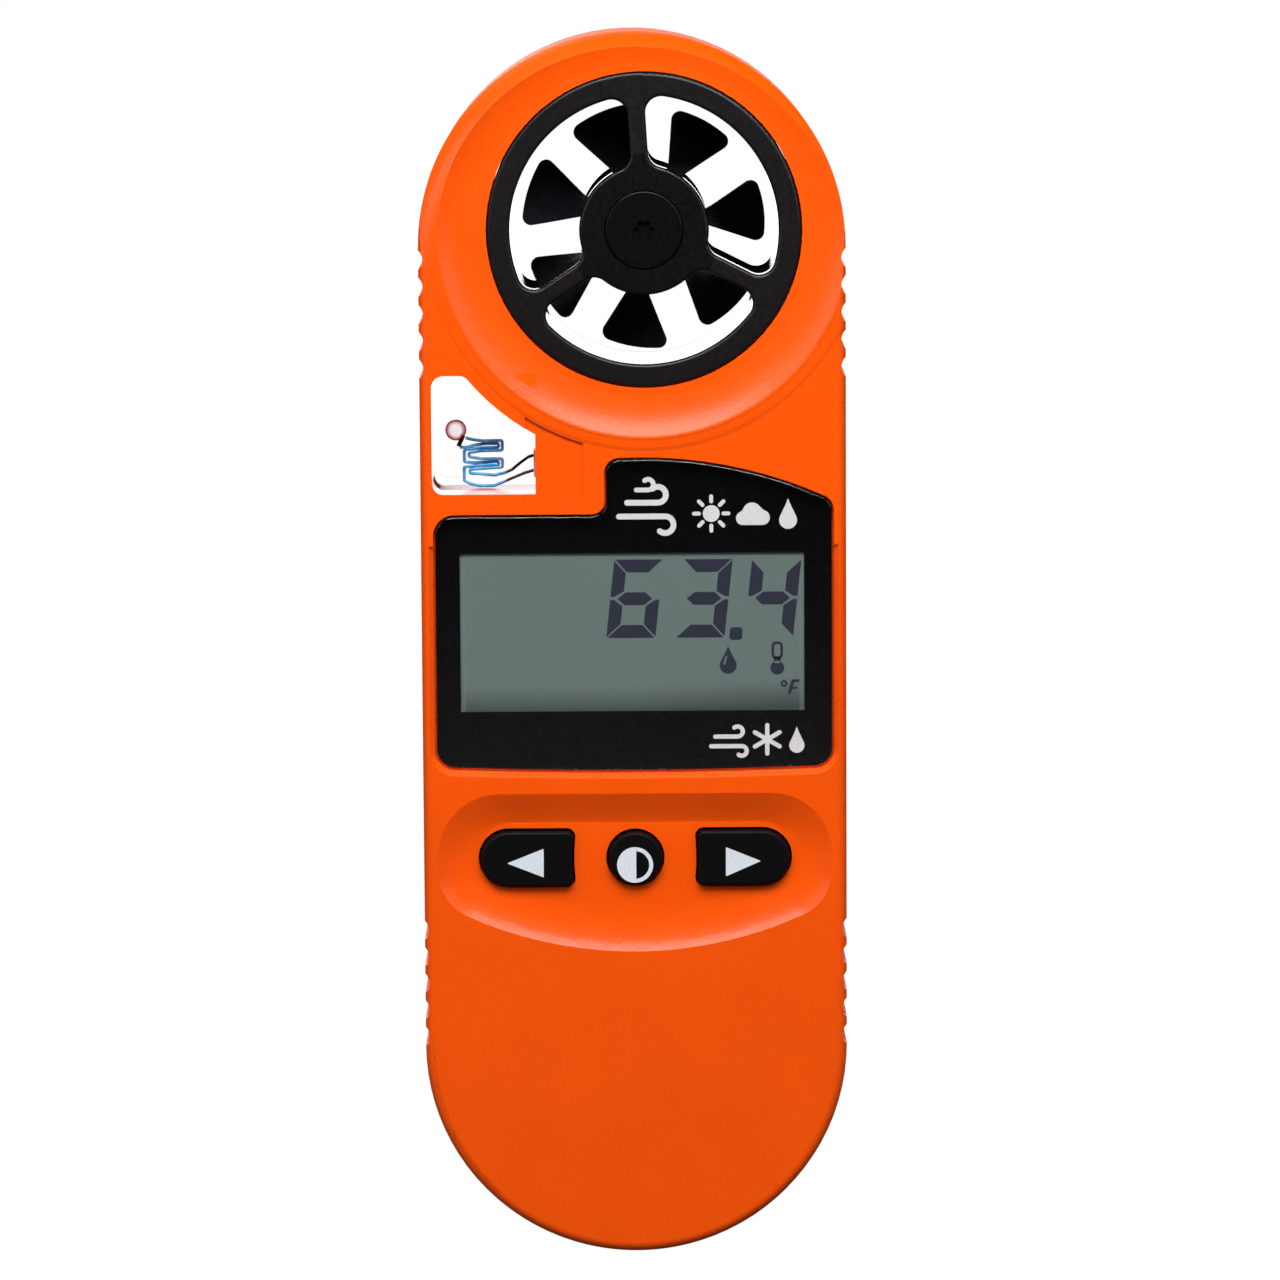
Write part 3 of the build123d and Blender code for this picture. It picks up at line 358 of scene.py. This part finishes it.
def display_face():
    """The display's film: grey-green and streaked, with painted shade low down that reaches higher on the
    right. It is lighter along its top and sides: its own edge there, and along the top also painted light.
    """
    s = Shader("polariser")
    x, z = s.along(0), s.along(2)
    streaks = s.noise(0.5, detail=3.0, stretch=(1, 1, 0.5))
    cloud = s.noise(7.0, detail=2.0)
    tone = s.mix(s.scale_to(streaks, 0.0, 1.0, 0.3, 0.7), srgb(100, 118, 114), srgb(105, 121, 117))
    tone = s.mix(s.scale_to(cloud, 0.0, 0.5, 0.3, 0.7), tone, srgb(101, 115, 113))
    # Painted shade: the film darkens towards its foot, and the darkened band reaches higher on the right.
    painted_shade_height = s.maths("MULTIPLY_ADD", s.maths("MAXIMUM", x, 0.0), -0.045, z)
    tone = s.mix(s.scale_to(painted_shade_height, 0.85, 0.0, *DISPLAY_SHADE_Z), tone, srgb(54, 57, 57))
    # The lighter band along the sides is the film's own edge. Along the top it is partly that edge and partly
    # painted light over the shade of the mask's top edge.
    aside = s.maths("ABSOLUTE", s.maths("SUBTRACT", x, DISPLAY_X))
    sides = s.maths("GREATER_THAN", aside, DISPLAY_HALF)
    edge = s.maths("MAXIMUM", s.maths("GREATER_THAN", z, DISPLAY_TOP_Z), sides)
    tone = s.mix(s.maths("MULTIPLY", edge, 0.45), tone, srgb(118, 130, 129))
    s.colour(tone)
    s.rough(s.scale_to(streaks, 0.4, 0.55))
    s.bump(s.noise(0.1), 0.003)
    return s


# ---------------------------------------------------------------- places taken from the frame
def centre_of(node):
    """The middle of a node's box, in millimetres above the datum."""
    low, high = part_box(node)
    return (low + high) / 2 / MM + Vector((0, 0, DATUM))


AXIS_X, _, AXIS_Z = centre_of("impeller_axle")
CARTRIDGE_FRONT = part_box("cartridge_front")[0].y / MM
KEY_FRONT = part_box("power_key")[0].y / MM
LENS_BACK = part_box("display_lens")[1].y / MM
DISPLAY_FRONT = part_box("front_polariser")[0].y / MM
SEAM_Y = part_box("front_casing")[1].y / MM

MATERIALS = {
    "orange_plastic": orange_plastic("orange_plastic"),
    "door_plastic": orange_plastic("door_plastic"),
    "seal_rubber": moulded("seal_rubber", srgb(32, 32, 34), 0.6, 0.3, 0.01),
    "key_rubber": moulded("key_rubber", srgb(7, 6, 7), 0.5, 0.12, 0.005, mottle=0.1, Specular_IOR_Level=0.12),
    "carbon": moulded("carbon", srgb(20, 20, 20), 0.8, 0.1, 0.02),
    "lens_clear": see_through("lens_clear", (1, 1, 1, 1), 1.0, 0.02),
    "lens_print": moulded("lens_print", srgb(6, 5, 7), 0.24, 0.5, 0.001, mottle=0.1, scuff=0.0,
                          Specular_IOR_Level=0.2),
    "adhesive": moulded("adhesive", srgb(34, 34, 34), 0.7, 0.3, 0.02),
    "polariser": display_face(),
    "lcd_glass": see_through("lcd_glass", (0.99, 1, 0.99, 1), 0.3, 0.03),
    "reflector": metal("reflector", srgb(190, 196, 194), 0.3, brush=(1, 1, 6)),
    "light_guide": moulded("light_guide", srgb(225, 230, 225), 0.15, 1.0, 0.01),
    "holder_plastic": moulded("holder_plastic", srgb(222, 222, 218), 0.5, 0.3, 0.01),
    "contact_strip": moulded("contact_strip", srgb(150, 146, 138), 0.7, 0.2, 0.02),
    "lamp_body": moulded("lamp_body", srgb(236, 234, 224), 0.5, 0.2, 0.01),
    "gold": metal("gold", srgb(212, 172, 92), 0.28),
    "board": circuit_board(),
    "chip_plastic": moulded("chip_plastic", srgb(30, 30, 31), 0.5, 0.15, 0.015),
    "tinned_steel": metal("tinned_steel", srgb(198, 198, 196), 0.3),
    "chip_ceramic": moulded("chip_ceramic", srgb(176, 150, 118), 0.45, 0.15, 0.01),
    "membrane": porous("membrane", srgb(238, 237, 235)),
    "flex_film": moulded("flex_film", srgb(196, 128, 40), 0.25, 0.6, 0.004),
    "cell_steel": metal("cell_steel", srgb(205, 205, 204), 0.24, brush=(1, 14, 1)),
    "spring_steel": metal("spring_steel", srgb(200, 198, 192), 0.25),
    "screw_steel": metal("screw_steel", srgb(176, 176, 178), 0.3, brush=(1, 6, 1), grain_mm=0.3),
    "bead_glass": bead_glass(),
    "collar_black": moulded("collar_black", srgb(16, 16, 18), 0.25, 0.3, 0.004),
    "gland_resin": moulded("gland_resin", srgb(226, 216, 196), 0.3, 0.4, 0.02),
    "blue_enamel": blue_leads(),
    "cartridge_black": black_plastic("cartridge_black"),
    "plug_black": moulded("plug_black", srgb(8, 7, 8), 0.3, 0.2, 0.008, mottle=0.1, Specular_IOR_Level=0.25),
    "jewel": moulded("jewel", srgb(190, 40, 80), 0.08, 1.0, 0.001),
    "impeller_black": moulded("impeller_black", srgb(13, 13, 17), 0.26, 0.5, 0.004, mottle=0.1),
    "axle_steel": metal("axle_steel", srgb(215, 215, 217), 0.14, brush=(1, 0.2, 1)),
    "magnet": moulded("magnet", srgb(58, 58, 60), 0.5, 0.2, 0.02),
}

for node, thing in NODES.items():
    thing.data.materials.clear()
    thing.data.materials.append(MATERIALS[SLOT_OF[node]].material)


# ---------------------------------------------------------------- thin printed shapes
def arc(centre, radius, start, end, steps=24):
    """Points on an arc in the X-Z plane, in millimetres and degrees."""
    angles = [math.radians(start + (end - start) * i / steps) for i in range(steps + 1)]
    return [(centre[0] + radius * math.cos(a), centre[1] + radius * math.sin(a)) for a in angles]


def circle(centre, radius, steps=40):
    """Points round a circle, the first one to its right."""
    return arc(centre, radius, 0, 360, steps)[:-1]


def stroke(points, width):
    """The outline of a line of the given width with round ends."""
    half = width / 2
    directions = []
    for i in range(len(points)):
        a, b = Vector(points[max(i - 1, 0)]), Vector(points[min(i + 1, len(points) - 1)])
        directions.append((b - a).normalized())
    left = [(p[0] - d.y * half, p[1] + d.x * half) for p, d in zip(points, directions)]
    right = [(p[0] + d.y * half, p[1] - d.x * half) for p, d in zip(points, directions)]
    tail = math.degrees(math.atan2(directions[-1].y, directions[-1].x))
    head = math.degrees(math.atan2(directions[0].y, directions[0].x))
    end_cap = arc(points[-1], half, tail + 90, tail - 90, 10)[1:-1]
    start_cap = arc(points[0], half, head - 90, head - 270, 10)[1:-1]
    return left + end_cap + right[::-1] + start_cap


def printed(name, outlines, front, thickness, material, body, holes=()):
    """A thin solid piece made of closed outlines in X and Z, whose front face is at the depth front."""
    curve = bpy.data.curves.new(name, "CURVE")
    curve.dimensions = "2D"
    curve.fill_mode = "BOTH"
    curve.extrude = thickness / 2 * MM
    for outline in list(outlines) + list(holes):
        spline = curve.splines.new("POLY")
        spline.points.add(len(outline) - 1)
        for point, (x, z) in zip(spline.points, outline):
            point.co = (x * MM, z * MM, 0, 1)
        spline.use_cyclic_u = True
    shape = bpy.data.objects.new(name + "_curve", curve)
    bpy.context.scene.collection.objects.link(shape)
    bpy.context.view_layer.update()
    mesh = bpy.data.meshes.new_from_object(shape.evaluated_get(bpy.context.evaluated_depsgraph_get()))
    bpy.data.objects.remove(shape)
    upright = Matrix.Rotation(math.pi / 2, 4, "X")
    mesh.transform(Matrix.Translation((0, (front + thickness / 2) * MM, -DATUM * MM)) @ upright)
    bm = bmesh.new()
    bm.from_mesh(mesh)
    bmesh.ops.remove_doubles(bm, verts=bm.verts, dist=1e-7)
    bmesh.ops.recalc_face_normals(bm, faces=bm.faces)
    bm.to_mesh(mesh)
    bm.free()
    mesh.name = name
    piece = bpy.data.objects.new(name, mesh)
    bpy.context.scene.collection.objects.link(piece)
    mesh.materials.clear()
    mesh.materials.append(material)
    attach(piece, body)


def ink(name, colour, rough=0.5):
    """A printed ink with a faint speckle."""
    s = Shader(name)
    speckle = s.noise(0.25, detail=3.0)
    s.colour(s.mix(s.scale_to(speckle, 0.0, 1.0, 0.35, 0.7), colour, darker(colour, 0.9)))
    s.rough(s.scale_to(speckle, rough * 0.85, rough * 1.15))
    s.bump(speckle, 0.004)
    return s.material


KEY_INK = ink("key_ink", srgb(222, 228, 236))
LENS_INK = ink("lens_ink", srgb(226, 226, 228), 0.35)
SEGMENT_INK = ink("segment_ink", srgb(46, 50, 64), 0.35)


# ---------------------------------------------------------------- key symbols
def softened(points, radius, steps=5):
    """A polygon with small round corners."""
    out = []
    count = len(points)
    for i in range(count):
        before, here, after = (Vector(points[(i + k) % count]) for k in (-1, 0, 1))
        to_before, to_after = (before - here).normalized(), (after - here).normalized()
        angle = to_before.angle(to_after)
        reach = radius / math.tan(angle / 2)
        start, end = here + to_before * reach, here + to_after * reach
        for k in range(steps + 1):
            t = k / steps
            out.append(tuple((1 - t) ** 2 * start + 2 * t * (1 - t) * here + t * t * end))
    return out


KEY_PRINT = 0.03
DISC_CENTRE = (-0.03, 40.48)
DISC_R, RING_INNER_R = 1.77, 1.38
HALF_X = DISC_CENTRE[0] + 0.12

left_arrow = softened([(-12.6, 40.72), (-9.0, 42.15), (-9.0, 39.3)], 0.06)
right_arrow = softened([(12.32, 40.8), (8.88, 42.2), (8.88, 39.3)], 0.06)
half_disc = arc(DISC_CENTRE, DISC_R, 90, 270, 28)
half_disc += [(HALF_X, DISC_CENTRE[1] - DISC_R), (HALF_X, DISC_CENTRE[1] + DISC_R)]
half_ring = arc(DISC_CENTRE, DISC_R, 86, -86, 28) + arc(DISC_CENTRE, RING_INNER_R, -84, 84, 28)
for name, outline, key in (
    ("left_arrow_print", left_arrow, "left_key"),
    ("right_arrow_print", right_arrow, "right_key"),
    ("contrast_half_print", half_disc, "power_key"),
    ("contrast_ring_print", half_ring, "power_key"),
):
    printed(name, [outline], KEY_FRONT - KEY_PRINT, KEY_PRINT, KEY_INK, key)


# ---------------------------------------------------------------- display segments
DIGIT_W, DIGIT_H = 4.82, 7.72
BAR, GAP = 1.27, 0.2  # a bar's width and the gap between two bars
SLANT = 0.11
DIGIT_Z = 62.77
DIGITS = (("6", -2.31), ("3", 4.45), ("4", 11.16))
LIT = {"6": "afgecd", "3": "abgcd", "4": "fbgc"}


def segment(letter):
    """One of the seven bars of a digit, as an outline in the digit's own upright box."""
    w, h, t, g = DIGIT_W, DIGIT_H, BAR, GAP / 2
    m = h / 2
    bars = {
        "a": [(g, h), (w - g, h), (w - t - g, h - t), (t + g, h - t)],
        "d": [(g, 0), (t + g, t), (w - t - g, t), (w - g, 0)],
        "f": [(0, h - g), (t, h - t - g), (t, m + t / 2 + g), (0.3 * t, m + 0.2), (0, m + 0.2)],
        "b": [(w, h - g), (w, m + 0.2), (w - 0.3 * t, m + 0.2), (w - t, m + t / 2 + g), (w - t, h - t - g)],
        "e": [(0, g), (0, m - 0.1), (0.3 * t, m - 0.1), (t, m - t / 2 - g), (t, t + g)],
        "c": [(w, g), (w - t, t + g), (w - t, m - t / 2 - g), (w - 0.3 * t, m - 0.1), (w, m - 0.1)],
        "g": [(0.71, m), (1.45, m + t / 2), (w - 1.45, m + t / 2), (w - 0.71, m),
              (w - 1.45, m - t / 2), (1.45, m - t / 2)],
    }
    return bars[letter]


def digit(character, middle_x):
    """The lit bars of one digit, whose left side at half height is at middle_x."""
    x = middle_x - SLANT * DIGIT_H / 2
    bars = [[(x + px + pz * SLANT, DIGIT_Z + pz) for px, pz in segment(k)] for k in LIT[character]]
    return [softened(bar, 0.04) for bar in bars]


def droplet(x, z, width, height):
    """A drop with its tip up; x is its middle and z its lowest point."""
    r = width / 2
    body = arc((x, z + r), r, 150, 390, 26)
    return body + [(x + r * 0.3, z + height * 0.78), (x, z + height), (x - r * 0.3, z + height * 0.78)]


SEGMENT = 0.012
DEGREE_CENTRE = (14.66, 58.18)

segments = [bar for character, x in DIGITS for bar in digit(character, x)]
decimal_point = softened([(9.3, 62.52), (10.58, 62.52), (10.64, 63.76), (9.42, 63.76)], 0.32)
thermometer_neck = softened([(13.72, 60.2), (14.3, 60.2), (14.36, 60.78), (13.66, 60.78)], 0.05)
thermometer_bulb = circle((14.01, 59.74), 0.68)
unit_letter = [(15.0, 57.12), (15.28, 57.12), (15.48, 57.62), (15.95, 57.62), (16.0, 57.86),
               (15.55, 57.86), (15.66, 58.28), (16.14, 58.28), (16.2, 58.58), (15.42, 58.58)]
segments += [decimal_point, thermometer_neck, thermometer_bulb, softened(unit_letter, 0.02)]
drop = droplet(9.2, 59.17, 1.68, 2.74)
glint = softened([(8.68, 60.1), (8.9, 60.05), (9.12, 60.9), (8.98, 60.95)], 0.05)
tube = softened([(13.45, 60.62), (14.57, 60.62), (14.57, 62.33), (13.45, 62.33)], 0.5)
tube_hole = softened([(13.7, 60.86), (14.32, 60.86), (14.32, 62.08), (13.7, 62.08)], 0.28)
degree, degree_hole = circle(DEGREE_CENTRE, 0.34), circle(DEGREE_CENTRE, 0.13, 20)
for name, outlines, holes in (
    ("display_segments", segments, []),
    ("drop_segment", [drop], [glint]),
    ("thermometer_segment", [tube], [tube_hole]),
    ("degree_segment", [degree], [degree_hole]),
):
    printed(name, outlines, DISPLAY_FRONT - SEGMENT, SEGMENT, SEGMENT_INK, "casing", holes)


# ---------------------------------------------------------------- pictograms on the lens
def wind_line(x, z, length, curl, turn, width):
    """A line that runs right and curls up where turn is 1, or down where it is -1."""
    run = [(x + length * i / 8, z) for i in range(9)]
    hook = arc((x + length, z + turn * curl), curl, -90 * turn, 130 * turn, 16)[1:]
    return stroke(run + hook, width)


def sun(x, z, r, width):
    """A disc with eight rays."""
    parts = [circle((x, z), r)]
    for i in range(8):
        a = math.radians(45 * i)
        inner, outer = r * 1.45, r * 2.05
        parts.append(stroke([(x + inner * math.cos(a), z + inner * math.sin(a)),
                             (x + outer * math.cos(a), z + outer * math.sin(a))], width))
    return parts


def cloud(x, z, size):
    """A cloud outline built from arcs, with a flat base."""
    points = arc((x + 0.75 * size, z + 0.6 * size), 0.6 * size, 270, 110, 14)
    points += arc((x + 1.55 * size, z + 1.15 * size), 0.82 * size, 165, 35, 16)
    points += arc((x + 2.45 * size, z + 0.65 * size), 0.65 * size, 80, -90, 14)
    return points


def snowflake(x, z, r, width):
    """Three crossing lines."""
    parts = []
    for i in range(3):
        a = math.radians(60 * i + 30)
        parts.append(stroke([(x - r * math.cos(a), z - r * math.sin(a)),
                             (x + r * math.cos(a), z + r * math.sin(a))], width))
    return parts


ICON_GAP, ICON_DEPTH, ICON_STEP = 0.015, 0.012, 0.0003
upper = [wind_line(-0.6, 76.1, 3.0, 0.78, 1, 0.56), wind_line(-1.4, 74.75, 4.5, 0.82, -1, 0.56),
         wind_line(0.3, 77.35, 1.15, 0.52, 1, 0.46)]
upper += sun(7.6, 75.0, 0.82, 0.38)
upper += [cloud(9.85, 73.85, 1.12), droplet(15.1, 73.45, 1.75, 3.0)]
lower = [wind_line(7.9, 53.0, 2.2, 0.5, 1, 0.42), wind_line(7.5, 52.05, 3.0, 0.48, -1, 0.42)]
lower += snowflake(13.0, 52.7, 1.4, 0.42)
lower += [droplet(15.9, 51.35, 1.5, 2.6)]
for i, part in enumerate(upper + lower):
    printed(f"lens_pictogram_{i + 1}", [part], LENS_BACK + ICON_GAP + ICON_STEP * i, ICON_DEPTH,
            LENS_INK, "casing")


# ---------------------------------------------------------------- raised marks on the battery door
DOOR_CENTRE = centre_of("battery_door")
DOOR_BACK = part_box("battery_door")[1].y / MM
MARK_R = 9.2
MARK_SINK, MARK_STEP, MARK_DEPTH = 0.02, 0.001, 0.14


def door_arrow():
    """A curved arrow the way the door turns to open, with a dot at its tail."""
    def on_door(radius, degrees):
        angle = math.radians(degrees)
        return (DOOR_CENTRE.x + radius * math.cos(angle), DOOR_CENTRE.z + radius * math.sin(angle))
    shaft = stroke(arc((DOOR_CENTRE.x, DOOR_CENTRE.z), MARK_R, 318, 232, 30), 0.75)
    head = [on_door(MARK_R, 219), on_door(8.0, 233), on_door(10.4, 233)]
    return [shaft, head, circle(on_door(MARK_R, 327), 0.5)]


for i, part in enumerate(door_arrow()):
    printed(f"door_turn_mark_{i + 1}", [part], DOOR_BACK - MARK_SINK - MARK_STEP * i, MARK_DEPTH,
            MATERIALS["door_plastic"].material, "battery_door")


# ---------------------------------------------------------------- floor, light and camera
def floor():
    """A pale floor, just under the meter: white to the camera and dim to every other ray."""
    mesh = bpy.data.meshes.new("floor")
    bm = bmesh.new()
    bmesh.ops.create_grid(bm, x_segments=8, y_segments=8, size=12.0)
    bm.to_mesh(mesh)
    bm.free()
    thing = bpy.data.objects.new("floor", mesh)
    thing.location.z = -0.0002
    bpy.context.scene.collection.objects.link(thing)
    s = Shader("floor_white")
    clouds = s.scale_to(s.noise(60.0), 0.0, 1.0, 0.4, 0.6)
    s.colour(s.mix(clouds, (0.05, 0.05, 0.05, 1), (0.06, 0.06, 0.06, 1)))
    s.set(Roughness=0.9)
    shown = s.add("ShaderNodeEmission", Color=(1, 1, 1, 1), Strength=1.0)
    path = s.add("ShaderNodeLightPath")
    both = s.add("ShaderNodeMixShader")
    s.link(path.outputs["Is Camera Ray"], both.inputs[0])
    s.link(s.surface.outputs[0], both.inputs[1])
    s.link(shown.outputs[0], both.inputs[2])
    s.link(both.outputs[0], s.output.inputs["Surface"])
    mesh.materials.append(s.material)


def softbox(name, place, target, size, watts):
    """An area light that faces its target and stays out of the picture."""
    light = bpy.data.lights.new(name, "AREA")
    light.shape = "RECTANGLE"
    light.size, light.size_y = size
    light.energy = watts
    thing = bpy.data.objects.new(name, light)
    bpy.context.scene.collection.objects.link(thing)
    thing.location = place
    thing.rotation_euler = (Vector(target) - Vector(place)).to_track_quat("-Z", "Y").to_euler()
    thing.visible_camera = False


def studio_world():
    """A world that is white to the camera and nearly dark to every other ray."""
    world = bpy.data.worlds.new("studio")
    bpy.context.scene.world = world
    world.use_nodes = True
    tree = world.node_tree
    tree.nodes.clear()
    choice = tree.nodes.new("ShaderNodeMixShader")
    for socket, strength in ((1, 0.02), (2, 1.0)):
        background = tree.nodes.new("ShaderNodeBackground")
        background.inputs["Color"].default_value = (1, 1, 1, 1)
        background.inputs["Strength"].default_value = strength
        tree.links.new(background.outputs[0], choice.inputs[socket])
    path = tree.nodes.new("ShaderNodeLightPath")
    out = tree.nodes.new("ShaderNodeOutputWorld")
    tree.links.new(path.outputs["Is Camera Ray"], choice.inputs[0])
    tree.links.new(choice.outputs[0], out.inputs["Surface"])


# The camera's place and the point that it looks at, in metres, its roll in radians and its lens.
EYE = Vector((-0.00113406, -0.6, 0.13957727 - DATUM * MM))
LOOK_AT = Vector((0.0005993, 0.0, 0.06171282 - DATUM * MM))
ROLL = -0.00582
SENSOR_MM, LENS_MM = 36.0, 171.965


def studio_camera():
    """The camera: in front of the meter, above its middle, with a long lens."""
    camera = bpy.data.cameras.new("camera")
    camera.sensor_width = SENSOR_MM
    camera.lens = LENS_MM
    camera.clip_start, camera.clip_end = 0.01, 30.0
    view = bpy.data.objects.new("camera", camera)
    bpy.context.scene.collection.objects.link(view)
    look = (LOOK_AT - EYE).normalized()
    level = look.cross(Vector((0, 0, 1))).normalized()
    upright = level.cross(look)
    right = math.cos(ROLL) * level + math.sin(ROLL) * upright
    up = -math.sin(ROLL) * level + math.cos(ROLL) * upright
    view.matrix_world = Matrix((
        (right.x, up.x, -look.x, EYE.x),
        (right.y, up.y, -look.y, EYE.y),
        (right.z, up.z, -look.z, EYE.z),
        (0, 0, 0, 1),
    ))
    bpy.context.scene.camera = view


# Each light's place, target, size and power, in metres and watts.
AIM = (0.0, 0.0, 0.07)
LIGHTS = {
    "top_softbox": ((0.0, -0.26, 0.37), (0.0, 0.0, 0.09), (0.34, 0.2), 2.35),
    "left_softbox": ((-0.5, -0.45, 0.3), AIM, (0.3, 0.4), 0.9),
    "right_softbox": ((0.5, -0.45, 0.3), AIM, (0.3, 0.4), 0.7),
    "rear_softbox": ((-0.3, 0.5, 0.42), AIM, (0.4, 0.3), 2.6),
    "back_card": ((0.0, 0.5, 0.16), AIM, (0.5, 0.42), 1.3),
}

floor()
for name, (place, target, size, watts) in LIGHTS.items():
    softbox(name, place, target, size, watts)
studio_world()
bpy.context.scene.view_settings.view_transform = "Standard"
studio_camera()
